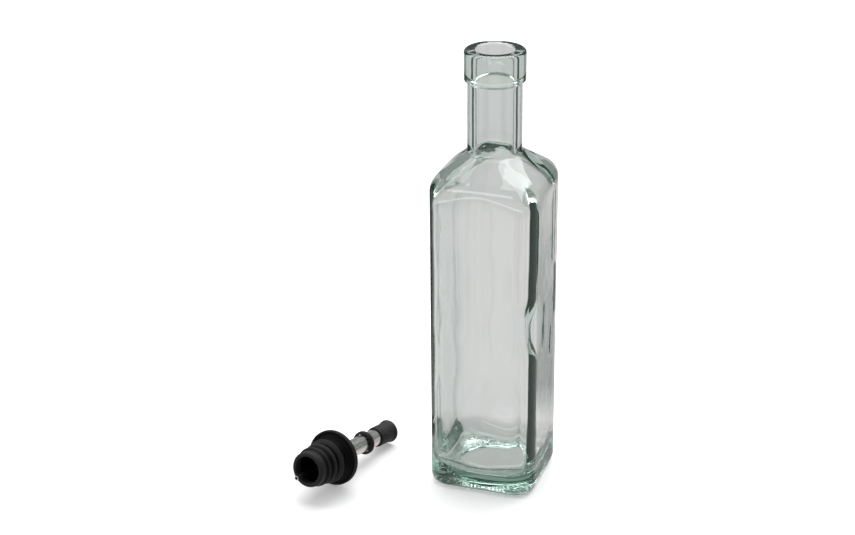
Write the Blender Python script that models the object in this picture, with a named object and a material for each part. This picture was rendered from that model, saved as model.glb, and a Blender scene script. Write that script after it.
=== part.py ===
"""A square glass bottle with a round neck, and the pourer that fits it.

The bottle stands empty and open.  Its pourer lies beside it on the same
surface: a rubber stopper with sealing fins and a flange, a steel spout with a
rubber collar half way along, a rubber cap on the spout's end, and a thin air
tube that shows in the stopper's open nose.

Lengths are in metres.  The bottle's flat sides face X and Y.
"""

import math

import bmesh
import bpy
from mathutils import Matrix, Vector

MM = 0.001

# The bottle's outside
BOTTLE_HEIGHT = 225.0 * MM
BODY_HALF_WIDTH = 27.25 * MM
BODY_CORNER_RADIUS = 10.9 * MM
HEEL_RADIUS = 3.9 * MM
SHOULDER_LEVEL = 162.6 * MM
SHOULDER_ROUNDING = 12.1 * MM
NECK_FOOT_LEVEL = 175.0 * MM
NECK_FOOT_ROUNDING = 3.7 * MM
NECK_RADIUS_LOW = 13.36 * MM
NECK_RADIUS_HIGH = 13.27 * MM
LIP_RADIUS = 14.95 * MM
LIP_LEVEL = 208.9 * MM
LIP_BEVEL_HEIGHT = 1.1 * MM
LIP_UNDER_ROUNDING = 1.0 * MM
LIP_TOP_ROUNDING = 1.7 * MM

# The bottle's inside and its base
WALL = 3.0 * MM
HOLLOW_HALF_WIDTH = BODY_HALF_WIDTH - WALL
WALL_CORNER_RADIUS = 4.5 * MM
WALL_CORNER_TOP = 146.0 * MM
INNER_SHOULDER_CORNER_RADIUS = 11.0 * MM
FLOOR_CORNER_RADIUS = 12.2 * MM
FLOOR_LEVEL = 7.0 * MM
FLOOR_ROUNDING = 9.0 * MM
FLOOR_CENTRE_RADIUS = 3.0 * MM
FLOOR_RISE = 0.1 * MM
BORE_RADIUS = 9.25 * MM
BORE_FOOT_LEVEL = 173.5 * MM
BORE_FOOT_ROUNDING = 6.0 * MM
MOUTH_ROUNDING = 1.5 * MM
PUSH_UP_RADIUS = 17.4 * MM
PUSH_UP_STEPS = ((0.3, 1.1 * MM), (0.9, 1.0 * MM), (0.95, 0.75 * MM), (1.0, 0.0))
BEARING_RING_RADIUS = 20.2 * MM

# Stations along the pourer, from the stopper's open nose, and radii there
NOSE_BORE_RADIUS = 6.95 * MM
NOSE_RADIUS = 9.0 * MM
NOSE_CONE_RADIUS = 9.25 * MM
NOSE_CONE_END = 3.3 * MM
NOSE_ROUNDING = 1.1 * MM
FIN_STATIONS = (6.6 * MM, 11.6 * MM, 16.4 * MM)
FIN_RADII = (10.15 * MM, 10.5 * MM, 11.5 * MM)
FIN_TIP_WIDTH = 0.7 * MM
FIN_SLOPE_LENGTH = 1.7 * MM
CORE_RADII = (8.9 * MM, 9.0 * MM, 9.1 * MM, 9.3 * MM)
FLANGE_FRONT = 22.4 * MM
FLANGE_BACK = 24.6 * MM
FLANGE_RADIUS = 14.35 * MM
FLANGE_DISH = 1.6 * MM
HUB_BACK = 27.6 * MM
HUB_RADIUS = 6.6 * MM
NOSE_BORE_DEPTH = 15.0 * MM
SOCKET_SHOULDER = 19.0 * MM
SPOUT_RADIUS = 4.5 * MM
SPOUT_BORE_RADIUS = 4.0 * MM
SPOUT_END = 71.0 * MM
COLLAR_FRONT = 49.8 * MM
COLLAR_BACK = 52.5 * MM
COLLAR_RADIUS = 6.2 * MM
COLLAR_FRONT_ROUNDING = 1.3 * MM
CAP_FRONT = 61.6 * MM
CAP_FRONT_RADIUS = 5.15 * MM
CAP_BODY_START = 62.8 * MM
CAP_BODY_RADIUS = 5.35 * MM
CAP_BODY_END = 72.2 * MM
CAP_RIM_START = 74.4 * MM
CAP_RIM_RADIUS = 6.1 * MM
CAP_END = 75.3 * MM
CAP_FLOOR = 72.6 * MM
RIM_ROUNDING = 0.5 * MM
AIR_TUBE_RADIUS = 1.2 * MM
AIR_TUBE_BORE_RADIUS = 0.75 * MM
AIR_TUBE_REACH = 4.3 * MM
AIR_TUBE_OFFSET = 5.0 * MM
AIR_TUBE_BEARING = math.radians(39.4)

# Where the pourer lies, measured from the bottle's axis
NOSE_PLACE = (-77.9 * MM, -62.5 * MM)
POURER_HEADING = math.radians(77.3)

# How finely the shapes are cut
FIT_GAP = 0.3 * MM
POINTS_PER_CORNER = 9
BOTTLE_ARC_STEP = math.radians(16.0)
TURNED_ARC_STEP = math.radians(32.0)
TURNED_STEPS = 36
TUBE_STEPS = 28
AIR_TUBE_STEPS = 16


def rounded_path(corners, arc_step):
    """Points along a path of (reach, level, rounding) corners.

    Each corner inside the path becomes an arc of its rounding.
    """
    spots = [Vector((reach, level)) for reach, level, _ in corners]
    path = [spots[0]]
    for index in range(1, len(corners) - 1):
        spot = spots[index]
        rounding = corners[index][2]
        back = (spots[index - 1] - spot).normalized()
        ahead = (spots[index + 1] - spot).normalized()
        turn = math.pi - back.angle(ahead)
        if rounding == 0.0 or turn < 1e-4:
            path.append(spot)
            continue
        reach = rounding * math.tan(turn / 2)
        centre = spot + (back + ahead).normalized() * rounding / math.cos(turn / 2)
        start = spot + back * reach - centre
        side = math.copysign(1.0, start.cross(spot + ahead * reach - centre))
        steps = max(2, math.ceil(turn / arc_step))
        for step in range(steps + 1):
            angle = side * turn * step / steps
            path.append(centre + Matrix.Rotation(angle, 2) @ start)
    path.append(spots[-1])
    return path


def add_section(shape, half_width, corner_radius, level):
    """A level loop of edges: a square with round corners, or a circle."""
    straight = half_width - corner_radius
    blend = min(1.0, straight / (0.1 * half_width))
    vertices = []
    for quarter in range(4):
        centre = Matrix.Rotation(quarter * math.pi / 2, 2) @ Vector((straight, straight))
        for index in range(POINTS_PER_CORNER):
            spread = index / (POINTS_PER_CORNER - 1)
            even = (index + 0.5) / POINTS_PER_CORNER
            share = even + (spread - even) * blend
            angle = (quarter + share) * math.pi / 2
            vertices.append(
                shape.verts.new((
                    centre.x + corner_radius * math.cos(angle),
                    centre.y + corner_radius * math.sin(angle),
                    level,
                ))
            )
    return [
        shape.edges.new((vertices[index - 1], vertices[index]))
        for index in range(len(vertices))
    ]


def outside_corner_radius(half_width, level):
    """Corner radius of the outside at a level, so that the square turns round."""
    if level >= NECK_FOOT_LEVEL:
        return half_width
    if level < HEEL_RADIUS:
        return BODY_CORNER_RADIUS - (BODY_HALF_WIDTH - half_width)
    share = (half_width - NECK_RADIUS_LOW) / (BODY_HALF_WIDTH - NECK_RADIUS_LOW)
    radius = NECK_RADIUS_LOW + (BODY_CORNER_RADIUS - NECK_RADIUS_LOW) * share
    return min(radius, half_width)


def hollow_corner_radius(half_width, level):
    """Corner radius of the hollow at a level: sharp along the walls, round at both ends."""
    if level >= BORE_FOOT_LEVEL:
        return half_width
    if level > WALL_CORNER_TOP:
        share = (half_width - BORE_RADIUS) / (HOLLOW_HALF_WIDTH - BORE_RADIUS)
        radius = BORE_RADIUS + (INNER_SHOULDER_CORNER_RADIUS - BORE_RADIUS) * share
    else:
        share = (HOLLOW_HALF_WIDTH - half_width) / FLOOR_ROUNDING
        radius = WALL_CORNER_RADIUS + (FLOOR_CORNER_RADIUS - WALL_CORNER_RADIUS) * share
    return min(radius, half_width)


def bottle_sections():
    """(half width, corner radius, level) from the base, over the lip, to the floor."""
    # The push-up under the base, and the ring that the bottle stands on
    sections = [
        (PUSH_UP_RADIUS * share, PUSH_UP_RADIUS * share, level)
        for share, level in PUSH_UP_STEPS
    ]
    sections.append((BEARING_RING_RADIUS, BEARING_RING_RADIUS, 0.0))

    # Heel, body, shoulder, neck and lip, then mouth, bore, walls and floor
    outline = rounded_path([
        (BEARING_RING_RADIUS, 0.0, 0.0),
        (BODY_HALF_WIDTH, 0.0, HEEL_RADIUS),
        (BODY_HALF_WIDTH, SHOULDER_LEVEL, SHOULDER_ROUNDING),
        (NECK_RADIUS_LOW, NECK_FOOT_LEVEL, NECK_FOOT_ROUNDING),
        (NECK_RADIUS_HIGH, LIP_LEVEL, LIP_UNDER_ROUNDING),
        (LIP_RADIUS, LIP_LEVEL + LIP_BEVEL_HEIGHT, LIP_UNDER_ROUNDING),
        (LIP_RADIUS, BOTTLE_HEIGHT, LIP_TOP_ROUNDING),
        (BORE_RADIUS, BOTTLE_HEIGHT, MOUTH_ROUNDING),
        (BORE_RADIUS, BORE_FOOT_LEVEL, BORE_FOOT_ROUNDING),
        (HOLLOW_HALF_WIDTH, SHOULDER_LEVEL - WALL, SHOULDER_ROUNDING - WALL),
        (HOLLOW_HALF_WIDTH, WALL_CORNER_TOP, 0.0),
        (HOLLOW_HALF_WIDTH, FLOOR_LEVEL, FLOOR_ROUNDING),
        (FLOOR_CENTRE_RADIUS, FLOOR_LEVEL + FLOOR_RISE, 0.0),
    ], BOTTLE_ARC_STEP)
    middle_of_lip = (LIP_RADIUS + BORE_RADIUS) / 2
    in_hollow = False
    for half_width, level in outline[1:]:
        if level > LIP_LEVEL and half_width < middle_of_lip:
            in_hollow = True
        corner_radius = hollow_corner_radius if in_hollow else outside_corner_radius
        sections.append((half_width, corner_radius(half_width, level), level))
    return sections


def shade_round(mesh, crease_degrees):
    mesh.shade_smooth()
    mesh.set_sharp_from_angle(angle=math.radians(crease_degrees))


def make_object(name, shape, material, parent, crease_degrees=35.0):
    bmesh.ops.recalc_face_normals(shape, faces=shape.faces)
    mesh = bpy.data.meshes.new(name)
    shape.to_mesh(mesh)
    shape.free()
    mesh.materials.append(material)
    shade_round(mesh, crease_degrees)
    piece = bpy.data.objects.new(name, mesh)
    piece.parent = parent
    bpy.context.scene.collection.objects.link(piece)
    return piece


def make_bottle(material, parent):
    shape = bmesh.new()
    loops = [add_section(shape, *section) for section in bottle_sections()]
    for lower, upper in zip(loops, loops[1:]):
        bmesh.ops.bridge_loops(shape, edges=lower + upper)
    for end_loop in (loops[0], loops[-1]):
        bmesh.ops.edgeloop_fill(shape, edges=end_loop)
    return make_object("bottle", shape, material, parent)


def turn_profile(profile, steps, closed):
    """A shape turned round Z from (radius, station) points."""
    shape = bmesh.new()
    vertices = [shape.verts.new((radius, 0.0, station)) for radius, station in profile]
    edges = [shape.edges.new(pair) for pair in zip(vertices, vertices[1:])]
    if closed:
        edges.append(shape.edges.new((vertices[-1], vertices[0])))
    bmesh.ops.spin(
        shape,
        geom=vertices + edges,
        cent=(0.0, 0.0, 0.0),
        axis=(0.0, 0.0, 1.0),
        angle=math.tau,
        steps=steps,
        use_merge=True,
    )
    bmesh.ops.remove_doubles(shape, verts=shape.verts, dist=0.002 * MM)
    return shape


def stopper_profile():
    """The stopper's outline: nose, fins, flange and hub, then back through it."""
    corners = [
        (NOSE_BORE_RADIUS, NOSE_ROUNDING, 0.0),
        (NOSE_BORE_RADIUS, 0.0, NOSE_ROUNDING / 2),
        (NOSE_RADIUS, 0.0, NOSE_ROUNDING),
        (NOSE_CONE_RADIUS, NOSE_CONE_END, 0.0),
    ]
    for station, radius, core in zip(FIN_STATIONS, FIN_RADII, CORE_RADII):
        corners.append((core, station - FIN_TIP_WIDTH - FIN_SLOPE_LENGTH, 0.0))
        corners.append((radius, station - FIN_TIP_WIDTH, 0.0))
        corners.append((radius, station, 0.0))
        corners.append((core, station + FIN_TIP_WIDTH / 2, 0.0))
    corners += [
        (CORE_RADII[-1], FLANGE_FRONT - FLANGE_DISH / 2, FLANGE_DISH),
        (FLANGE_RADIUS - FLANGE_DISH, FLANGE_FRONT + FLANGE_DISH / 2, 0.0),
        (FLANGE_RADIUS - FLANGE_DISH / 2, FLANGE_FRONT, 0.0),
        (FLANGE_RADIUS, FLANGE_FRONT, RIM_ROUNDING / 2),
        (FLANGE_RADIUS, FLANGE_BACK, RIM_ROUNDING),
        (HUB_RADIUS, FLANGE_BACK + FLANGE_DISH / 2, FLANGE_DISH / 2),
        (HUB_RADIUS, HUB_BACK, RIM_ROUNDING),
        (SPOUT_RADIUS + FIT_GAP, HUB_BACK, 0.0),
        (SPOUT_RADIUS + FIT_GAP, SOCKET_SHOULDER, 0.0),
        (SPOUT_BORE_RADIUS, SOCKET_SHOULDER, 0.0),
        (SPOUT_BORE_RADIUS, NOSE_BORE_DEPTH, 0.0),
        (NOSE_BORE_RADIUS, NOSE_BORE_DEPTH, 0.0),
    ]
    return rounded_path(corners, TURNED_ARC_STEP)


def tube_profile(outer_radius, inner_radius, start, end):
    return [
        (outer_radius, start),
        (outer_radius, end),
        (inner_radius, end),
        (inner_radius, start),
    ]


def collar_profile():
    inner = SPOUT_RADIUS + FIT_GAP
    return rounded_path([
        (inner, COLLAR_FRONT, 0.0),
        (COLLAR_RADIUS, COLLAR_FRONT, COLLAR_FRONT_ROUNDING),
        (COLLAR_RADIUS, COLLAR_BACK, RIM_ROUNDING),
        (inner, COLLAR_BACK, 0.0),
    ], TURNED_ARC_STEP)


def cap_profile():
    """A cup over the spout's end, with a flared rim at its far end."""
    inner = SPOUT_RADIUS + FIT_GAP
    return rounded_path([
        (0.0, CAP_FLOOR, 0.0),
        (inner, CAP_FLOOR, 0.0),
        (inner, CAP_FRONT, 0.0),
        (CAP_FRONT_RADIUS, CAP_FRONT, 0.0),
        (CAP_BODY_RADIUS, CAP_BODY_START, 0.0),
        (CAP_BODY_RADIUS, CAP_BODY_END, RIM_ROUNDING * 2),
        (CAP_RIM_RADIUS, CAP_RIM_START, RIM_ROUNDING),
        (CAP_RIM_RADIUS, CAP_END, RIM_ROUNDING),
        (0.0, CAP_END, 0.0),
    ], TURNED_ARC_STEP)


def pourer_tilt():
    """How far the pourer tips, resting on its flange and on its cap's rim."""
    return math.atan((FLANGE_RADIUS - CAP_RIM_RADIUS) / (CAP_END - FLANGE_BACK))


def nose_height(tilt):
    """Height of the nose's centre when the flange's rounded rim touches down."""
    radius = FLANGE_RADIUS - RIM_ROUNDING
    station = FLANGE_BACK - RIM_ROUNDING
    return RIM_ROUNDING + station * math.sin(tilt) + radius * math.cos(tilt)


def make_empty(name, parent=None):
    empty = bpy.data.objects.new(name, None)
    empty.parent = parent
    bpy.context.scene.collection.objects.link(empty)
    return empty


def make_pourer(rubber, steel, cap_rubber, parent):
    tilt = pourer_tilt()
    axis = make_empty("pourer_axis", parent)
    axis.location = (*NOSE_PLACE, nose_height(tilt))
    axis.rotation_euler = (0.0, math.pi / 2 + tilt, POURER_HEADING)

    stopper = turn_profile(stopper_profile(), TURNED_STEPS, closed=True)
    spout = turn_profile(
        tube_profile(SPOUT_RADIUS, SPOUT_BORE_RADIUS, SOCKET_SHOULDER + FIT_GAP, SPOUT_END),
        TUBE_STEPS,
        closed=True,
    )
    collar = turn_profile(collar_profile(), TUBE_STEPS, closed=True)
    cap = turn_profile(cap_profile(), TUBE_STEPS, closed=False)
    air_tube = turn_profile(
        tube_profile(
            AIR_TUBE_RADIUS, AIR_TUBE_BORE_RADIUS, -AIR_TUBE_REACH, NOSE_BORE_DEPTH - FIT_GAP
        ),
        AIR_TUBE_STEPS,
        closed=True,
    )
    breather = make_object("air_tube", air_tube, steel, axis)
    breather.location = (
        AIR_TUBE_OFFSET * math.cos(AIR_TUBE_BEARING),
        AIR_TUBE_OFFSET * math.sin(AIR_TUBE_BEARING),
        0.0,
    )
    return [
        make_object("stopper", stopper, rubber, axis),
        make_object("spout_tube", spout, steel, axis),
        make_object("tube_ring", collar, rubber, axis),
        make_object("tip_cap", cap, cap_rubber, axis),
        breather,
    ]


def make_material(name, color, roughness, metallic=0.0, transmission=0.0):
    material = bpy.data.materials.new(name)
    material.use_nodes = True
    shader = material.node_tree.nodes["Principled BSDF"]
    shader.inputs["Base Color"].default_value = (*color, 1.0)
    shader.inputs["Roughness"].default_value = roughness
    shader.inputs["Metallic"].default_value = metallic
    shader.inputs["Transmission Weight"].default_value = transmission
    material.diffuse_color = (*color, 1.0)
    material.roughness = roughness
    material.metallic = metallic
    return material


def set_over_origin(root, pieces):
    """Moves everything so that the origin is under the middle of its outline."""
    bpy.context.view_layer.update()
    spots = [piece.matrix_world @ vertex.co for piece in pieces for vertex in piece.data.vertices]
    middle_x = (min(spot.x for spot in spots) + max(spot.x for spot in spots)) / 2
    middle_y = (min(spot.y for spot in spots) + max(spot.y for spot in spots)) / 2
    lowest = min(spot.z for spot in spots)
    root.location = (-middle_x, -middle_y, -lowest)


for old in list(bpy.data.objects):
    bpy.data.objects.remove(old)

glass = make_material("glass", (0.78, 0.84, 0.81), 0.03, transmission=1.0)
black_rubber = make_material("black_rubber", (0.022, 0.022, 0.022), 0.6)
grey_rubber = make_material("cap_rubber", (0.035, 0.035, 0.036), 0.55)
steel = make_material("steel", (0.62, 0.62, 0.6), 0.28, metallic=1.0)

standing_place = make_empty("standing_place")
made_pieces = [make_bottle(glass, standing_place)]
made_pieces += make_pourer(black_rubber, steel, grey_rubber, standing_place)
set_over_origin(standing_place, made_pieces)
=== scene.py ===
import math

import bmesh
import bpy
from mathutils import Matrix, Vector


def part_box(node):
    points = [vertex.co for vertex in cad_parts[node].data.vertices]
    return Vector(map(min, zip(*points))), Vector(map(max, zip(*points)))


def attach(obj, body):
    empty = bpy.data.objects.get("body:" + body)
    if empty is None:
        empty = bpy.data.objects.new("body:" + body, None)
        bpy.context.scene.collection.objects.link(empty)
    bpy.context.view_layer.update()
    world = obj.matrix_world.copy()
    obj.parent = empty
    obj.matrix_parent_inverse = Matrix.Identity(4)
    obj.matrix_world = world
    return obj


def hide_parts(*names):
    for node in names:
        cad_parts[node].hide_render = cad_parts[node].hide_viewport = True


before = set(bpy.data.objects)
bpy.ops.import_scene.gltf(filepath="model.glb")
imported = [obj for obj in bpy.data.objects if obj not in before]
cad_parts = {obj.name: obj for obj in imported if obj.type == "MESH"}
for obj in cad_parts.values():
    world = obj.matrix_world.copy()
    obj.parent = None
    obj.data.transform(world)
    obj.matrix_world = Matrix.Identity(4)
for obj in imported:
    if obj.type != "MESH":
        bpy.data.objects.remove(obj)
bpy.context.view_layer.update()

MM = 0.001

# Where the bottle stands: its axis comes from its solid
bottle_low, bottle_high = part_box("bottle")
AXIS_X = (bottle_low[0] + bottle_high[0]) / 2
AXIS_Y = (bottle_low[1] + bottle_high[1]) / 2

# The bottle's outside
BOTTLE_HEIGHT = 225.0 * MM
BODY_HALF_WIDTH = 27.25 * MM
BODY_CORNER_RADIUS = 10.9 * MM
HEEL_RADIUS = 3.9 * MM
SHOULDER_LEVEL = 162.6 * MM
SHOULDER_ROUNDING = 12.1 * MM
SHOULDER_TURN_POWER = 1.75
NECK_FOOT_LEVEL = 175.0 * MM
NECK_FOOT_ROUNDING = 3.7 * MM
NECK_RADIUS_LOW = 13.36 * MM
NECK_RADIUS_HIGH = 13.27 * MM
LIP_RADIUS = 14.95 * MM
LIP_LEVEL = 208.9 * MM
LIP_BEVEL_LEVEL = 210.0 * MM
LIP_UNDER_ROUNDING = 1.0 * MM
LIP_TOP_ROUNDING = 1.7 * MM
BEARING_RING_RADIUS = 20.2 * MM
BEARING_RING_INSET = 1.2 * MM
PUSH_UP_RADIUS = 17.4 * MM
PUSH_UP_INSET = 0.1 * MM

# The push-up's rings, as a share of its radius and a level
PUSH_UP_RINGS = (
    (0.985, 0.25 * MM), (0.965, 0.55 * MM), (0.94, 0.8 * MM), (0.9, 1.0 * MM),
    (0.6, 1.05 * MM), (0.2, 1.1 * MM),
)

# The bottle's inside
WALL = 3.0 * MM
WALL_CORNER_RADIUS = 3.6 * MM
SOFT_CORNER_RADIUS = 11.0 * MM
WALL_CORNER_TOP = 151.0 * MM
FLOOR_LEVEL = 7.0 * MM
FLOOR_ROUNDING = 9.0 * MM
FLOOR_RISE = 0.1 * MM
FLOOR_ROUNDNESS = 0.4
FLOOR_RING_SHARES = (0.85, 0.7, 0.55, 0.4, 0.25, 0.1)
BOWL_STEPS = 10
BOWL_ROUNDNESS = 0.12
INNER_SHOULDER_ROUNDING = 9.1 * MM
BORE_RADIUS = 9.25 * MM
BORE_FOOT_LEVEL = 173.5 * MM
BORE_FOOT_ROUNDING = 6.0 * MM
ROUND_BELOW_BORE_FOOT = 2.0 * MM
MOUTH_ROUNDING = 1.5 * MM

# Where the inside of the wall swells or thins, in millimetres from the
# bottle's axis: the place, the levels between which it does, the push and
# how far the push fades
UNEVEN_PLACES = (
    ((23.0, -23.0), (89.0, 93.0), (-2.3, 2.3, 0.0), 15.0),
    ((23.0, -23.0), (102.0, 112.0), (-0.4, 0.2, 0.0), 14.0),
    ((23.0, -23.0), (48.0, 68.0), (0.0, 0.5, 0.0), 20.0),
    ((-23.0, -23.0), (66.0, 74.0), (0.8, 0.7, 0.0), 16.0),
    ((-23.0, -23.0), (106.0, 116.0), (0.4, 0.3, 0.0), 20.0),
    ((24.25, 16.0), (118.0, 148.0), (-0.45, 0.0, 0.0), 7.0),
    ((23.8, 20.5), (88.0, 108.0), (-0.5, 0.2, 0.0), 6.0),
    ((24.25, 0.0), (76.0, 94.0), (-0.35, 0.0, 0.0), 5.0),
    ((24.25, 13.0), (68.0, 76.0), (-0.35, 0.0, 0.0), 5.0),
    ((-13.5, -24.25), (90.0, 100.0), (0.0, 0.45, 0.0), 4.0),
)

# Stations along the pourer, from the stopper's open nose, and radii there
NOSE_BORE_RADIUS = 6.95 * MM
NOSE_BORE_DEPTH = 15.0 * MM
NOSE_RADIUS = 9.0 * MM
NOSE_CONE_RADIUS = 9.25 * MM
NOSE_CONE_END = 3.3 * MM
NOSE_ROUNDING = 1.1 * MM
FIN_STATIONS = (6.6 * MM, 11.6 * MM, 16.4 * MM)
FIN_RADII = (10.15 * MM, 10.5 * MM, 11.5 * MM)
FIN_TIP_WIDTH = 0.7 * MM
FIN_TIP_ROUNDING = 0.15 * MM
FIN_ROOT_ROUNDING = 0.25 * MM
FIN_SLOPE_LENGTH = 1.7 * MM
CORE_RADII = (8.9 * MM, 9.0 * MM, 9.1 * MM, 9.3 * MM)
FLANGE_FRONT = 22.4 * MM
FLANGE_BACK = 24.6 * MM
FLANGE_RADIUS = 14.35 * MM
FLANGE_DISH = 1.6 * MM
FLANGE_DISH_ROUNDING = 0.4 * MM
HUB_BACK = 27.6 * MM
HUB_RADIUS = 6.6 * MM
SOCKET_SHOULDER = 19.0 * MM
SPOUT_RADIUS = 4.5 * MM
SPOUT_BORE_RADIUS = 4.0 * MM
SPOUT_END = 71.0 * MM
COLLAR_FRONT = 49.8 * MM
COLLAR_BACK = 52.5 * MM
COLLAR_RADIUS = 6.2 * MM
COLLAR_FRONT_ROUNDING = 1.3 * MM
CAP_FRONT = 61.6 * MM
CAP_FRONT_RADIUS = 5.15 * MM
CAP_FRONT_ROUNDING = 0.1 * MM
CAP_MOUTH_ROUNDING = 0.15 * MM
CAP_BODY_START = 62.8 * MM
CAP_BODY_RADIUS = 5.35 * MM
CAP_BODY_END = 72.2 * MM
CAP_RIM_START = 74.4 * MM
CAP_RIM_RADIUS = 6.1 * MM
CAP_END = 75.3 * MM
CAP_FLOOR = 72.6 * MM
CAP_CENTRE_RADIUS = 0.4 * MM
RIM_ROUNDING = 0.5 * MM
EDGE_ROUNDING = 0.2 * MM
AIR_TUBE_RADIUS = 1.2 * MM
AIR_TUBE_BORE_RADIUS = 0.75 * MM
AIR_TUBE_REACH = 4.3 * MM
AIR_TUBE_OFFSET = 5.0 * MM
AIR_TUBE_BEARING = math.radians(39.4)
AIR_TUBE_ROUNDING = 0.12 * MM
FIT_GAP = 0.3 * MM

# Where the pourer lies
NOSE_PLACE = (-77.9 * MM, -62.5 * MM)
POURER_HEADING = math.radians(77.3)
POURER_TILT = math.atan((FLANGE_RADIUS - CAP_RIM_RADIUS) / (CAP_END - FLANGE_BACK))
NOSE_HEIGHT = (
    RIM_ROUNDING
    + (FLANGE_BACK - RIM_ROUNDING) * math.sin(POURER_TILT)
    + (FLANGE_RADIUS - RIM_ROUNDING) * math.cos(POURER_TILT)
)
POURER_SPOT = (AXIS_X + NOSE_PLACE[0], AXIS_Y + NOSE_PLACE[1], NOSE_HEIGHT)
POURER_TURN = (0.0, math.pi / 2 + POURER_TILT, POURER_HEADING)

# How finely the shapes are cut
NEAR = 0.02 * MM
RING_MARGIN = 0.2 * MM
MERGE_DISTANCE = 0.001 * MM
CORNER_STEPS = 12
FLAT_CUTS = 11
ROUNDING_STEPS = 8
RING_SPACING = 3.0 * MM
ARC_STEP = math.radians(7.5)
TURNED_STEPS = 96
TURNED_ROUNDING_STEPS = 6
AIR_TUBE_STEPS = 48
CREASE_ANGLE = math.radians(30.0)

# The glass: its tint, its faint painted glow, and the levels under which the base is stippled
GLASS_TINT = (0.12, 0.48, 0.36, 1.0)
GLASS_DENSITY = 25.0
GLASS_PAINTED_GLOW = (0.3, 1.0, 0.7, 1.0)
STIPPLE_TOP = 0.9 * MM
STIPPLE_FULL = 0.5 * MM
STIPPLE_DEPTH = 4.0
CLEAR = (1.0, 1.0, 1.0)
STIPPLE_GREEN = (0.3, 0.42, 0.37)

# Where painted light turns the stopper's rubber pale, by station or by reach from its axis;
# elsewhere it stays black as painted shade
NOSE_PAINTED_LIGHT = (5.0 * MM, 3.6 * MM)
FIN_PAINTED_LIGHT = (9.5 * MM, 10.3 * MM)
FIN_PAINTED_LIGHT_END = (19.0 * MM, 18.0 * MM)
RIM_PAINTED_LIGHT = (13.1 * MM, 13.8 * MM)
HUB_PAINTED_LIGHT = (24.0 * MM, 25.0 * MM)

# Brushed steel
STEEL_DARK = (0.62, 0.62, 0.61)
STEEL_LIGHT = (0.86, 0.86, 0.84)
STREAK_STRETCH = (1.0, 1.0, 0.04)

# The floor, in metres from the bottle's axis. What the glass shows of it
# dims under the bottle and far off, and darkens in four narrow wedges.
FLOOR_SIZE = 6.0
FLOOR_DROP = 0.5 * MM
WEDGE_BEARING = math.radians(17.0)
WEDGE_START = (0.05, 0.12)
WEDGE_EDGES = (0.14, 0.04)
UNDER_BOTTLE = (0.06, 0.04)
UNDER_BOTTLE_DIMMING = 0.25
FAR_OFF = (0.3, 0.5)
FAR_OFF_DIMMING = 0.08
FLOOR_GLOW = (0.74, 0.698, 0.705)
WEDGE_GLOW = (0.012, 0.035, 0.026)

# The camera that took the photograph
CAMERA_SPOT = (0.27029, -0.76484, 0.46296)
CAMERA_RIGHT = Vector((0.944913, 0.327175, -0.009808))
CAMERA_UP = Vector((-0.119846, 0.373700, 0.919775))
CAMERA_AHEAD = Vector((-0.304593, 0.867931, -0.392324))
CAMERA_LENS = 75.789
CAMERA_SENSOR_WIDTH = 36.0
CAMERA_CLIP_START = 0.05


# Modelling by hand

def choose(kind, test):
    """Selects the vertices, edges or faces of the edited mesh that pass a test."""
    bpy.ops.mesh.select_all(action="DESELECT")
    bpy.context.tool_settings.mesh_select_mode = (kind == "VERT", kind == "EDGE", kind == "FACE")
    mesh = bpy.context.edit_object.data
    shape = bmesh.from_edit_mesh(mesh)
    for element in {"VERT": shape.verts, "EDGE": shape.edges, "FACE": shape.faces}[kind]:
        if test(element):
            element.select_set(True)
    shape.select_flush_mode()
    bmesh.update_edit_mesh(mesh)


def from_axis(spot):
    return math.hypot(spot.x, spot.y)


def choose_ring(level, near=0.0, far=1.0):
    """Selects the edges that run round the axis at a level, between two distances from it."""
    choose("EDGE", lambda edge: all(
        abs(vertex.co.z - level) < NEAR and near < from_axis(vertex.co) < far
        for vertex in edge.verts
    ))


def chosen_reach():
    """How far the selected points reach along X."""
    shape = bmesh.from_edit_mesh(bpy.context.edit_object.data)
    return max(vertex.co.x for vertex in shape.verts if vertex.select)


def resize_to(reach):
    grow = reach / chosen_reach()
    bpy.ops.transform.resize(value=(grow, grow, 1.0), center_override=(0.0, 0.0, 0.0))


def begin_edit(name):
    piece = bpy.context.object
    piece.name = name
    piece.data.name = name
    bpy.ops.object.mode_set(mode="EDIT")
    bpy.ops.mesh.select_all(action="SELECT")
    return piece


def draw_to(rise, reach=None):
    """Draws the selected ring or face out along Z, to a new reach from the axis."""
    bpy.ops.mesh.extrude_region_move(TRANSFORM_OT_translate={"value": (0.0, 0.0, rise)})
    if reach:
        resize_to(reach)


def round_ring(rounding, segments):
    bpy.ops.mesh.bevel(
        offset=rounding, segments=segments, affect="EDGES", clamp_overlap=False
    )


def start_square(name, half_width, corner_radius, level, soft_radius=None):
    """A flat square with round corners, its sides cut into short edges.

    The corner at the back left may have a softer radius of its own.
    """
    bpy.ops.object.select_all(action="DESELECT")
    bpy.ops.mesh.primitive_plane_add(size=2 * half_width, location=(0.0, 0.0, 0.0))
    piece = begin_edit(name)
    choose("VERT", lambda vertex: vertex.co.x > 0.0 or vertex.co.y < 0.0)
    bpy.ops.mesh.bevel(offset=corner_radius, segments=CORNER_STEPS, affect="VERTICES")
    choose("VERT", lambda vertex: vertex.co.x < 0.0 and vertex.co.y > half_width - NEAR)
    bpy.ops.mesh.bevel(
        offset=soft_radius or corner_radius, segments=CORNER_STEPS, affect="VERTICES"
    )
    choose("EDGE", lambda edge: edge.calc_length() > half_width / 2)
    bpy.ops.mesh.subdivide(number_cuts=FLAT_CUTS)
    bpy.ops.mesh.select_all(action="SELECT")
    bpy.ops.transform.translate(value=(0.0, 0.0, level))
    return piece


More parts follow.
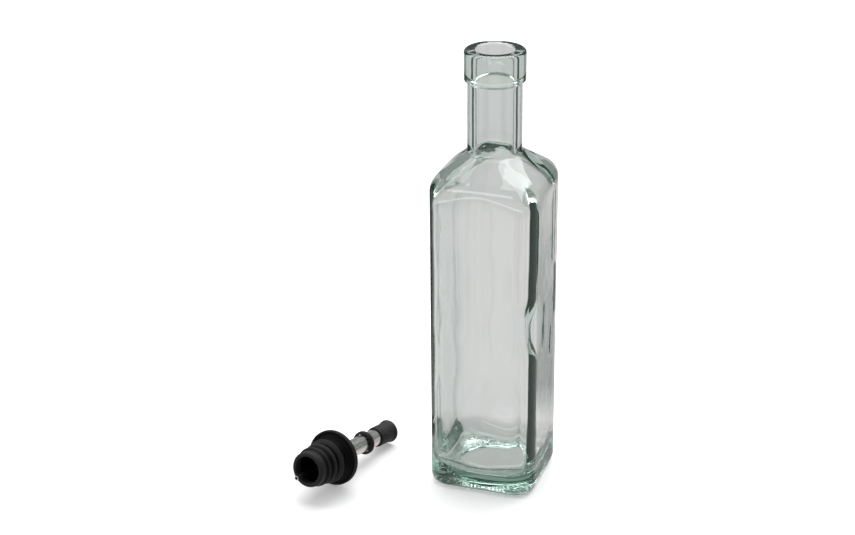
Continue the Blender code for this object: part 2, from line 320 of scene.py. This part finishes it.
def rounded_path(corners):
    """(reach, level) points along (reach, level, rounding) corners."""
    spots = [Vector((reach, level)) for reach, level, _ in corners]
    path = [spots[0]]
    for before, spot, after, (_, _, rounding) in zip(spots, spots[1:], spots[2:], corners[1:]):
        back = (before - spot).normalized()
        ahead = (after - spot).normalized()
        turn = math.pi - back.angle(ahead)
        if rounding == 0.0:
            path.append(spot)
            continue
        tangent = rounding * math.tan(turn / 2)
        centre = spot + (back + ahead).normalized() * rounding / math.cos(turn / 2)
        start = spot + back * tangent - centre
        side = math.copysign(1.0, start.cross(spot + ahead * tangent - centre))
        steps = max(2, math.ceil(turn / ARC_STEP))
        for step in range(steps + 1):
            path.append(centre + Matrix.Rotation(side * turn * step / steps, 2) @ start)
    path.append(spots[-1])
    return path


def draw_walls(path, roundness_at):
    """Draws the selected square up a path, turning it round as roundness_at says."""
    reach, level = path[0]
    rounded = 0.0
    for next_reach, next_level in path[1:]:
        count = max(1, round((next_level - level) / RING_SPACING))
        for index in range(1, count + 1):
            share = index / count
            now_reach = reach + (next_reach - reach) * share
            now_level = level + (next_level - level) * share
            draw_to((next_level - level) / count)
            wanted = roundness_at(now_reach, now_level)
            if wanted > rounded:
                bpy.ops.transform.tosphere(
                    value=(wanted - rounded) / (1.0 - rounded),
                    center_override=(0.0, 0.0, now_level),
                )
                rounded = wanted
            resize_to(now_reach)
        reach, level = next_reach, next_level


def outside_roundness(reach, level):
    """The outside turns round as the shoulder draws in to the neck."""
    if level >= NECK_FOOT_LEVEL:
        return 1.0
    share = (BODY_HALF_WIDTH - reach) / (BODY_HALF_WIDTH - NECK_RADIUS_LOW)
    return min(1.0, max(0.0, share)**SHOULDER_TURN_POWER)


def inside_roundness(reach, level):
    """The hollow turns round smoothly through the shoulder."""
    round_level = BORE_FOOT_LEVEL - ROUND_BELOW_BORE_FOOT
    share = (level - WALL_CORNER_TOP) / (round_level - WALL_CORNER_TOP)
    share = min(1.0, max(0.0, share))
    return share * share * (3.0 - 2.0 * share)


def make_base():
    """The ring that the bottle stands on, and the push-up inside it."""
    choose("FACE", lambda face: face.normal.z < -0.99 and abs(face.calc_center_median().z) < NEAR)
    bpy.ops.mesh.inset(thickness=BEARING_RING_INSET)
    bpy.ops.transform.tosphere(value=1.0)
    resize_to(BEARING_RING_RADIUS)
    bpy.ops.mesh.inset(thickness=PUSH_UP_INSET)
    resize_to(PUSH_UP_RADIUS)
    level = 0.0
    for share, next_level in PUSH_UP_RINGS:
        draw_to(next_level - level, PUSH_UP_RADIUS * share)
        level = next_level
    bpy.ops.mesh.poke()


def make_bottle_outside():
    piece = start_square("bottle_glass", BODY_HALF_WIDTH, BODY_CORNER_RADIUS, 0.0)
    draw_to(HEEL_RADIUS)
    draw_walls(rounded_path([
        (BODY_HALF_WIDTH, HEEL_RADIUS, 0.0),
        (BODY_HALF_WIDTH, SHOULDER_LEVEL, SHOULDER_ROUNDING),
        (NECK_RADIUS_LOW, NECK_FOOT_LEVEL, NECK_FOOT_ROUNDING),
        (NECK_RADIUS_HIGH, LIP_LEVEL, LIP_UNDER_ROUNDING),
        (LIP_RADIUS, LIP_BEVEL_LEVEL, LIP_UNDER_ROUNDING),
        (LIP_RADIUS, BOTTLE_HEIGHT, 0.0),
    ]), outside_roundness)
    bpy.ops.mesh.delete(type="ONLY_FACE")
    choose_ring(0.0)
    round_ring(HEEL_RADIUS, ROUNDING_STEPS)
    make_base()
    bpy.ops.object.mode_set(mode="OBJECT")
    return piece


def make_bowl(half_width, wall_foot):
    """The bowl at the foot of the walls, rounder in plan the deeper it goes."""
    choose("FACE", lambda face: len(face.verts) > 4)
    level = wall_foot
    for index in range(1, BOWL_STEPS + 1):
        angle = math.pi / 2 * index / BOWL_STEPS
        next_level = wall_foot - FLOOR_ROUNDING * math.sin(angle)
        draw_to(next_level - level)
        bpy.ops.transform.tosphere(value=BOWL_ROUNDNESS)
        resize_to(half_width - FLOOR_ROUNDING * (1.0 - math.cos(angle)))
        level = next_level
    floor_reach = chosen_reach()
    for share in FLOOR_RING_SHARES:
        draw_to(FLOOR_RISE / len(FLOOR_RING_SHARES))
        bpy.ops.transform.tosphere(value=FLOOR_ROUNDNESS)
        resize_to(floor_reach * share)
    bpy.ops.mesh.poke()


def push_glass(spot, levels, push, fade):
    """Pushes the wall in or out along an upright line, fading to its sides."""
    spot = Vector(spot) * MM
    low, high = (level * MM for level in levels)
    middle = Vector((*spot, (low + high) / 2))
    shape = bmesh.from_edit_mesh(bpy.context.edit_object.data)
    nearest = min(shape.verts, key=lambda vertex: (vertex.co - middle).length)
    line = nearest.co.copy()
    choose("VERT", lambda vertex: (
        low - RING_SPACING / 2 < vertex.co.z < high + RING_SPACING / 2
        and (vertex.co - line).xy.length < MM
    ))
    bpy.ops.transform.translate(
        value=Vector(push) * MM,
        use_proportional_edit=True,
        proportional_size=fade * MM,
        proportional_edit_falloff="SMOOTH",
    )


def make_bottle_inside():
    half_width = BODY_HALF_WIDTH - WALL
    wall_foot = FLOOR_LEVEL + FLOOR_ROUNDING
    piece = start_square(
        "bottle_hollow", half_width, WALL_CORNER_RADIUS, wall_foot, SOFT_CORNER_RADIUS
    )
    draw_walls(rounded_path([
        (half_width, wall_foot, 0.0),
        (half_width, WALL_CORNER_TOP, 0.0),
        (half_width, SHOULDER_LEVEL - WALL, INNER_SHOULDER_ROUNDING),
        (BORE_RADIUS, BORE_FOOT_LEVEL, BORE_FOOT_ROUNDING),
        (BORE_RADIUS, BOTTLE_HEIGHT, 0.0),
    ]), inside_roundness)
    bpy.ops.mesh.delete(type="ONLY_FACE")
    make_bowl(half_width, wall_foot)
    for uneven_place in UNEVEN_PLACES:
        push_glass(*uneven_place)
    bpy.ops.mesh.select_all(action="SELECT")
    bpy.ops.mesh.normals_make_consistent(inside=False)
    bpy.ops.mesh.flip_normals()
    bpy.ops.object.mode_set(mode="OBJECT")
    return piece


def make_bottle():
    """The whole glass: outside and inside, joined over the lip."""
    inside = make_bottle_inside()
    outside = make_bottle_outside()
    inside.select_set(True)
    outside.select_set(True)
    bpy.context.view_layer.objects.active = outside
    bpy.ops.object.join()
    piece = bpy.context.object
    bpy.ops.object.mode_set(mode="EDIT")
    choose_ring(BOTTLE_HEIGHT)
    bpy.ops.mesh.bridge_edge_loops()
    choose_ring(BOTTLE_HEIGHT, near=LIP_RADIUS - RING_MARGIN)
    round_ring(LIP_TOP_ROUNDING, ROUNDING_STEPS)
    choose_ring(BOTTLE_HEIGHT, far=BORE_RADIUS + RING_MARGIN)
    round_ring(MOUTH_ROUNDING, ROUNDING_STEPS)
    bpy.ops.mesh.select_all(action="SELECT")
    bpy.ops.mesh.remove_doubles(threshold=MERGE_DISTANCE)
    bpy.ops.mesh.normals_make_consistent(inside=False)
    bpy.ops.transform.translate(value=(AXIS_X, AXIS_Y, 0.0))
    bpy.ops.object.mode_set(mode="OBJECT")
    bpy.ops.object.shade_smooth()
    return piece


def turn_piece(name, corners, closed=True, steps=TURNED_STEPS):
    """A turned piece drawn ring by ring through (radius, station, rounding) corners."""
    bpy.ops.object.select_all(action="DESELECT")
    radius, station, _ = corners[0]
    bpy.ops.mesh.primitive_circle_add(
        vertices=steps, radius=radius, location=(0.0, 0.0, 0.0), fill_type="NOTHING"
    )
    begin_edit(name)
    bpy.ops.transform.translate(value=(0.0, 0.0, station))
    for radius, next_station, _ in corners[1:]:
        draw_to(next_station - station, radius)
        station = next_station
    if closed:
        ends = (corners[0], corners[-1])
        choose("EDGE", lambda edge: any(
            all(
                abs(vertex.co.z - end[1]) < NEAR and abs(from_axis(vertex.co) - end[0]) < NEAR
                for vertex in edge.verts
            )
            for end in ends
        ))
        bpy.ops.mesh.bridge_edge_loops()
    else:
        bpy.ops.mesh.merge(type="CENTER")
    for before, corner, after in zip(corners, corners[1:], corners[2:] + corners[:1]):
        radius, station, rounding = corner
        if not rounding:
            continue
        back = Vector((before[0] - radius, before[1] - station))
        ahead = Vector((after[0] - radius, after[1] - station))
        turn = math.pi - back.angle(ahead)
        choose_ring(station, radius - NEAR, radius + NEAR)
        round_ring(rounding * math.tan(turn / 2), TURNED_ROUNDING_STEPS)
    bpy.ops.mesh.select_all(action="SELECT")
    bpy.ops.mesh.remove_doubles(threshold=MERGE_DISTANCE)
    bpy.ops.mesh.normals_make_consistent(inside=False)
    bpy.ops.object.mode_set(mode="OBJECT")
    bpy.ops.object.shade_smooth_by_angle(angle=CREASE_ANGLE)
    return bpy.context.object


def lay_down(piece):
    """Lays a piece drawn along Z where the pourer lies."""
    piece.rotation_euler = POURER_TURN
    piece.location = POURER_SPOT
    bpy.ops.object.select_all(action="DESELECT")
    piece.select_set(True)
    bpy.context.view_layer.objects.active = piece
    bpy.ops.object.transform_apply(location=True, rotation=True, scale=True)
    return piece


def make_stopper():
    socket_radius = SPOUT_RADIUS + FIT_GAP
    corners = [
        (NOSE_BORE_RADIUS, NOSE_BORE_DEPTH, 0.0),
        (NOSE_BORE_RADIUS, 0.0, NOSE_ROUNDING / 2),
        (NOSE_RADIUS, 0.0, NOSE_ROUNDING),
        (NOSE_CONE_RADIUS, NOSE_CONE_END, 0.0),
    ]
    for station, radius, core in zip(FIN_STATIONS, FIN_RADII, CORE_RADII):
        corners.append((core, station - FIN_TIP_WIDTH - FIN_SLOPE_LENGTH, 0.0))
        corners.append((radius, station - FIN_TIP_WIDTH, FIN_TIP_ROUNDING))
        corners.append((radius, station, FIN_TIP_ROUNDING))
        corners.append((core, station + FIN_TIP_WIDTH / 2, FIN_ROOT_ROUNDING))
    corners += [
        (CORE_RADII[-1], FLANGE_FRONT - FLANGE_DISH / 2, FLANGE_DISH),
        (FLANGE_RADIUS - FLANGE_DISH, FLANGE_FRONT + FLANGE_DISH / 2, FLANGE_DISH_ROUNDING),
        (FLANGE_RADIUS - FLANGE_DISH / 2, FLANGE_FRONT, EDGE_ROUNDING),
        (FLANGE_RADIUS, FLANGE_FRONT, RIM_ROUNDING / 2),
        (FLANGE_RADIUS, FLANGE_BACK, RIM_ROUNDING),
        (HUB_RADIUS, FLANGE_BACK + FLANGE_DISH / 2, FLANGE_DISH / 2),
        (HUB_RADIUS, HUB_BACK, RIM_ROUNDING),
        (socket_radius, HUB_BACK, EDGE_ROUNDING),
        (socket_radius, SOCKET_SHOULDER, 0.0),
        (SPOUT_BORE_RADIUS, SOCKET_SHOULDER, 0.0),
        (SPOUT_BORE_RADIUS, NOSE_BORE_DEPTH, 0.0),
    ]
    return lay_down(turn_piece("stopper_rubber", corners))


def make_spout():
    return lay_down(turn_piece("spout_steel", [
        (SPOUT_RADIUS, SOCKET_SHOULDER + FIT_GAP, 0.0),
        (SPOUT_RADIUS, SPOUT_END, EDGE_ROUNDING),
        (SPOUT_BORE_RADIUS, SPOUT_END, 0.0),
        (SPOUT_BORE_RADIUS, SOCKET_SHOULDER + FIT_GAP, 0.0),
    ]))


def make_collar():
    inner = SPOUT_RADIUS + FIT_GAP
    return lay_down(turn_piece("spout_collar", [
        (inner, COLLAR_FRONT, 0.0),
        (COLLAR_RADIUS, COLLAR_FRONT, COLLAR_FRONT_ROUNDING),
        (COLLAR_RADIUS, COLLAR_BACK, RIM_ROUNDING),
        (inner, COLLAR_BACK, 0.0),
    ]))


def make_cap():
    """A cup over the spout's end, its floor and its end closed at the middle."""
    inner = SPOUT_RADIUS + FIT_GAP
    piece = turn_piece("cap_rubber_cup", [
        (CAP_CENTRE_RADIUS, CAP_FLOOR, 0.0),
        (inner, CAP_FLOOR, 0.0),
        (inner, CAP_FRONT, CAP_MOUTH_ROUNDING),
        (CAP_FRONT_RADIUS, CAP_FRONT, CAP_FRONT_ROUNDING),
        (CAP_BODY_RADIUS, CAP_BODY_START, 0.0),
        (CAP_BODY_RADIUS, CAP_BODY_END, RIM_ROUNDING * 2),
        (CAP_RIM_RADIUS, CAP_RIM_START, RIM_ROUNDING),
        (CAP_RIM_RADIUS, CAP_END, RIM_ROUNDING),
        (CAP_CENTRE_RADIUS, CAP_END, 0.0),
    ], closed=False)
    bpy.context.view_layer.objects.active = piece
    bpy.ops.object.mode_set(mode="EDIT")
    choose_ring(CAP_FLOOR, far=CAP_CENTRE_RADIUS + RING_MARGIN)
    bpy.ops.mesh.merge(type="CENTER")
    bpy.ops.mesh.select_all(action="SELECT")
    bpy.ops.mesh.normals_make_consistent(inside=False)
    bpy.ops.object.mode_set(mode="OBJECT")
    return lay_down(piece)


def make_air_tube():
    piece = turn_piece("air_tube_steel", [
        (AIR_TUBE_RADIUS, -AIR_TUBE_REACH, AIR_TUBE_ROUNDING),
        (AIR_TUBE_RADIUS, NOSE_BORE_DEPTH - FIT_GAP, 0.0),
        (AIR_TUBE_BORE_RADIUS, NOSE_BORE_DEPTH - FIT_GAP, 0.0),
        (AIR_TUBE_BORE_RADIUS, -AIR_TUBE_REACH, AIR_TUBE_ROUNDING),
    ], steps=AIR_TUBE_STEPS)
    bpy.ops.object.mode_set(mode="EDIT")
    bpy.ops.mesh.select_all(action="SELECT")
    bpy.ops.transform.translate(value=(
        AIR_TUBE_OFFSET * math.cos(AIR_TUBE_BEARING),
        AIR_TUBE_OFFSET * math.sin(AIR_TUBE_BEARING),
        0.0,
    ))
    bpy.ops.object.mode_set(mode="OBJECT")
    return lay_down(piece)


# Finishes

class Reading:
    """A socket of a finish, for plain arithmetic on what it carries."""

    def __init__(self, finish, socket):
        self.finish = finish
        self.socket = socket

    def maths(self, operation, first, second):
        return self.finish.add("ShaderNodeMath", {"operation": operation}, {0: first, 1: second})

    def __add__(self, other):
        return self.maths("ADD", self, other)

    __radd__ = __add__

    def __sub__(self, other):
        return self.maths("SUBTRACT", self, other)

    def __rsub__(self, other):
        return self.maths("SUBTRACT", other, self)

    def __mul__(self, other):
        return self.maths("MULTIPLY", self, other)

    __rmul__ = __mul__

    def __truediv__(self, other):
        return self.maths("DIVIDE", self, other)

    def root(self):
        return self.maths("SQRT", self, 0.0)

    def capped(self):
        return self.maths("MINIMUM", self, 1.0)


class Finish:
    """The nodes of one material, or of the studio around the pieces."""

    def __init__(self, owner, shader="Principled BSDF", output="Material Output"):
        owner.use_nodes = True
        self.owner = owner
        self.tree = owner.node_tree
        self.shader = self.tree.nodes[shader]
        self.output = self.tree.nodes[output]

    def feed(self, socket, value):
        if isinstance(value, Reading):
            self.tree.links.new(value.socket, socket)
        else:
            socket.default_value = value

    def add(self, kind, settings=None, sockets=None, output=0):
        """Adds a node: its settings first, then what its sockets take."""
        node = self.tree.nodes.new(kind)
        for name, value in (settings or {}).items():
            if name == "stops":
                for place, color in value[2:]:
                    node.color_ramp.elements.new(place)
                for stop, (place, color) in zip(node.color_ramp.elements, value):
                    stop.position = place
                    stop.color = (*color, 1.0)
            else:
                setattr(node, name, value)
        for name, value in (sockets or {}).items():
            self.feed(node.inputs[name], value)
        return Reading(self, node.outputs[output])

    def set(self, **values):
        for name, value in values.items():
            self.feed(self.shader.inputs[name.replace("_", " ")], value)

    def deliver(self, **shaders):
        for name, shader in shaders.items():
            self.feed(self.output.inputs[name], shader)

    def mix(self, share, other):
        """The finish's own shader, and another one where the share is 0."""
        own = Reading(self, self.shader.outputs[0])
        return self.add("ShaderNodeMixShader", {}, {0: share, 1: other, 2: own})

    def place(self):
        return self.add("ShaderNodeTexCoord", output="Object")

    def along_pourer(self):
        """Places measured along and across the pourer's own axis."""
        return self.add("ShaderNodeMapping", {"vector_type": "TEXTURE"}, {
            "Vector": self.place(), "Location": POURER_SPOT, "Rotation": POURER_TURN,
        })

    def split(self, place):
        """The three readings of a place."""
        first = self.add("ShaderNodeSeparateXYZ", {}, {0: place})
        return [Reading(self, output) for output in first.socket.node.outputs]

    def between(self, value, start, end):
        """Rises softly from 0 at the start to 1 at the end."""
        return self.add("ShaderNodeMapRange", {"interpolation_type": "SMOOTHSTEP"}, {
            "Value": value, "From Min": start, "From Max": end,
        })

    def noise(self, place, scale, detail):
        return self.add("ShaderNodeTexNoise", {}, {
            "Vector": place, "Scale": scale, "Detail": detail, "Roughness": 0.55,
        })

    def bump(self, height, distance):
        return self.add("ShaderNodeBump", {}, {"Height": height, "Distance": distance})

    def ramp(self, value, stops):
        return self.add("ShaderNodeValToRGB", {"stops": stops}, {"Fac": value})


def new_finish(name):
    return Finish(bpy.data.materials.new(name))


def clear_glass():
    """Pale green glass, gently rippled, with a stippled ring under the base."""
    finish = new_finish("clear_green_glass")
    place = finish.place()
    ripple = finish.noise(place, scale=60.0, detail=2.0)
    dots = finish.add("ShaderNodeTexVoronoi", {"feature": "F1"}, {"Vector": place, "Scale": 800.0})
    stipple = finish.between(finish.split(place)[2], STIPPLE_TOP, STIPPLE_FULL) * dots
    finish.set(
        Base_Color=finish.ramp(stipple, [(0.25, CLEAR), (0.6, STIPPLE_GREEN)]),
        Roughness=0.0,
        IOR=1.52,
        Transmission_Weight=1.0,
        # Painted light: the glass glows faintly green of itself, though it is no lamp
        Emission_Color=GLASS_PAINTED_GLOW,
        Emission_Strength=0.004,
        Normal=finish.bump(ripple + STIPPLE_DEPTH * stipple, distance=0.12 * MM),
    )
    finish.deliver(Volume=finish.add("ShaderNodeVolumeAbsorption", {}, {
        "Color": GLASS_TINT, "Density": GLASS_DENSITY,
    }))
    return finish.owner


def mottled_rubber(finish, dark, light, roughness, painted_light_share):
    """Matt rubber: clouded colour and fine grain, paler where light is painted on and black where
    shade is painted.
    """
    place = finish.place()
    grain = finish.noise(place, scale=900.0, detail=4.0)
    cloud = finish.noise(place, scale=160.0, detail=3.0)
    finish.set(
        Base_Color=finish.ramp(
            (0.75 + 0.5 * (cloud - 0.5)) * painted_light_share, [(0.0, (dark,) * 3), (1.0, (light,) * 3)]
        ),
        Roughness=roughness + 0.25 * (grain - 0.5),
        Specular_IOR_Level=0.15,
        Normal=finish.bump(grain, distance=0.06 * MM),
    )
    return finish.owner


def black_stopper_rubber():
    """Painted shade: black between the fins and in the flange's hollow side. Painted light: paler
    on their rims, on the nose and on the hub.
    """
    finish = new_finish("stopper_rubber")
    across, beside, along = finish.split(finish.along_pourer())
    reach = (across * across + beside * beside).root()
    # Painted light on the nose, fin tips, flange rim and hub; the rest is left black as painted
    # shade
    nose = finish.between(along, *NOSE_PAINTED_LIGHT)
    fins = finish.between(reach, *FIN_PAINTED_LIGHT) * finish.between(along, *FIN_PAINTED_LIGHT_END)
    rim = finish.between(reach, *RIM_PAINTED_LIGHT)
    hub = finish.between(along, *HUB_PAINTED_LIGHT)
    painted_light_share = (nose + fins + rim + hub).capped()
    return mottled_rubber(finish, dark=0.001, light=0.034, roughness=0.6, painted_light_share=painted_light_share)


def dark_rubber(name, light):
    # The share of painted light is 1 all over, so these rubbers carry no painted light or shade
    return mottled_rubber(new_finish(name), dark=0.004, light=light, roughness=0.55, painted_light_share=1.0)


def brushed_steel():
    """Steel with fine streaks drawn out along the tube."""
    finish = new_finish("brushed_steel")
    stretched = finish.add("ShaderNodeMapping", {}, {
        "Vector": finish.along_pourer(), "Scale": STREAK_STRETCH,
    })
    streaks = finish.noise(stretched, scale=2600.0, detail=3.0)
    finish.set(
        Base_Color=finish.ramp(streaks, [(0.3, STEEL_DARK), (0.7, STEEL_LIGHT)]),
        Metallic=1.0,
        Roughness=0.16 + 0.16 * streaks,
        Normal=finish.bump(streaks, distance=0.01 * MM),
    )
    return finish.owner


# The set: floor, lights and camera

def pale_floor():
    """Plain and pale to the camera; every other ray meets the floor's glow."""
    finish = new_finish("pale_floor")
    finish.set(
        Base_Color=(0.9, 0.9, 0.9, 1.0),
        Roughness=0.9,
        Emission_Color=(1.0, 1.0, 1.0, 1.0),
        Emission_Strength=0.25,
    )
    around = finish.add("ShaderNodeMapping", {"vector_type": "TEXTURE"}, {
        "Vector": finish.place(),
        "Location": (AXIS_X, AXIS_Y, 0.0),
        "Rotation": (0.0, 0.0, WEDGE_BEARING),
    })
    across, along, _ = finish.split(around)
    square = across * across + along * along
    double = (across * across - along * along) / square

    def beyond(start, end):
        return finish.between(square, start**2, end**2)

    wedges = beyond(*WEDGE_START) * finish.between(double * double, *WEDGE_EDGES)
    under = UNDER_BOTTLE_DIMMING * beyond(*UNDER_BOTTLE)
    far_off = FAR_OFF_DIMMING * beyond(*FAR_OFF)
    glow = finish.add("ShaderNodeEmission", {}, {
        "Color": finish.ramp(wedges, [(0.0, FLOOR_GLOW), (1.0, WEDGE_GLOW)]),
        "Strength": 1.0 - under - far_off,
    })
    seen = finish.add("ShaderNodeLightPath", output="Is Camera Ray")
    finish.deliver(Surface=finish.mix(seen, glow))
    return finish.owner


def make_floor():
    bpy.ops.object.select_all(action="DESELECT")
    bpy.ops.mesh.primitive_plane_add(size=FLOOR_SIZE, location=(0.0, 0.0, -FLOOR_DROP))
    floor = bpy.context.object
    floor.name = "floor"
    floor.data.materials.append(pale_floor())


def add_light(name, spot, aim, size, power):
    light = bpy.data.lights.new(name, "AREA")
    light.shape = "RECTANGLE"
    light.size, light.size_y = size
    light.energy = power
    lamp = bpy.data.objects.new(name, light)
    bpy.context.scene.collection.objects.link(lamp)
    lamp.location = spot
    lamp.rotation_euler = (Vector(aim) - Vector(spot)).to_track_quat("-Z", "Y").to_euler()


def make_lights():
    add_light(
        "overhead_softbox", spot=(0.0, 0.8, 1.5), aim=(0.0, 0.6, 0.0), size=(2.2, 1.9), power=46.0
    )
    add_light(
        "left_softbox", spot=(-1.3, -0.2, 0.8), aim=(0.0, 0.0, 0.08), size=(0.9, 1.2), power=6.0
    )
    add_light(
        "front_strip", spot=(-0.45, -1.45, 0.75), aim=(0.0, 0.0, 0.15), size=(0.9, 0.3), power=3.0
    )


def make_studio():
    """An even grey room, which the glass shows in a grey of its own."""
    world = bpy.data.worlds.new("studio")
    bpy.context.scene.world = world
    finish = Finish(world, "Background", "World Output")
    finish.set(Color=(0.3, 0.31, 0.3, 1.0), Strength=1.0)
    room = finish.add("ShaderNodeBackground", {}, {
        "Color": (0.8, 0.8, 0.8, 1.0), "Strength": 0.3,
    })
    through = finish.add("ShaderNodeLightPath", output="Is Transmission Ray")
    finish.deliver(Surface=finish.mix(through, room))


def make_camera():
    camera = bpy.data.cameras.new("camera")
    camera.sensor_fit = "HORIZONTAL"
    camera.sensor_width = CAMERA_SENSOR_WIDTH
    camera.lens = CAMERA_LENS
    camera.clip_start = CAMERA_CLIP_START
    eye = bpy.data.objects.new("camera", camera)
    bpy.context.scene.collection.objects.link(eye)
    turned = Matrix((CAMERA_RIGHT, CAMERA_UP, -CAMERA_AHEAD)).transposed().to_4x4()
    eye.matrix_world = Matrix.Translation(CAMERA_SPOT) @ turned
    bpy.context.scene.camera = eye


PIECES = [
    (make_bottle, "bottle", "glass", clear_glass()),
    (make_stopper, "stopper", "stopper_rubber", black_stopper_rubber()),
    (make_spout, "spout_tube", "steel", brushed_steel()),
    (make_collar, "tube_ring", "ring_rubber", dark_rubber("collar_rubber", light=0.022)),
    (make_cap, "tip_cap", "cap_rubber", dark_rubber("cap_rubber", light=0.042)),
    (make_air_tube, "air_tube", "air_tube_steel", brushed_steel()),
]
for make_piece, node, slot, material in PIECES:
    made = make_piece()
    made.data.materials.clear()
    made.data.materials.append(material)
    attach(made, "root")
    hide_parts(node)

make_floor()
make_lights()
make_studio()
make_camera()
bpy.context.scene.view_settings.view_transform = "Standard"
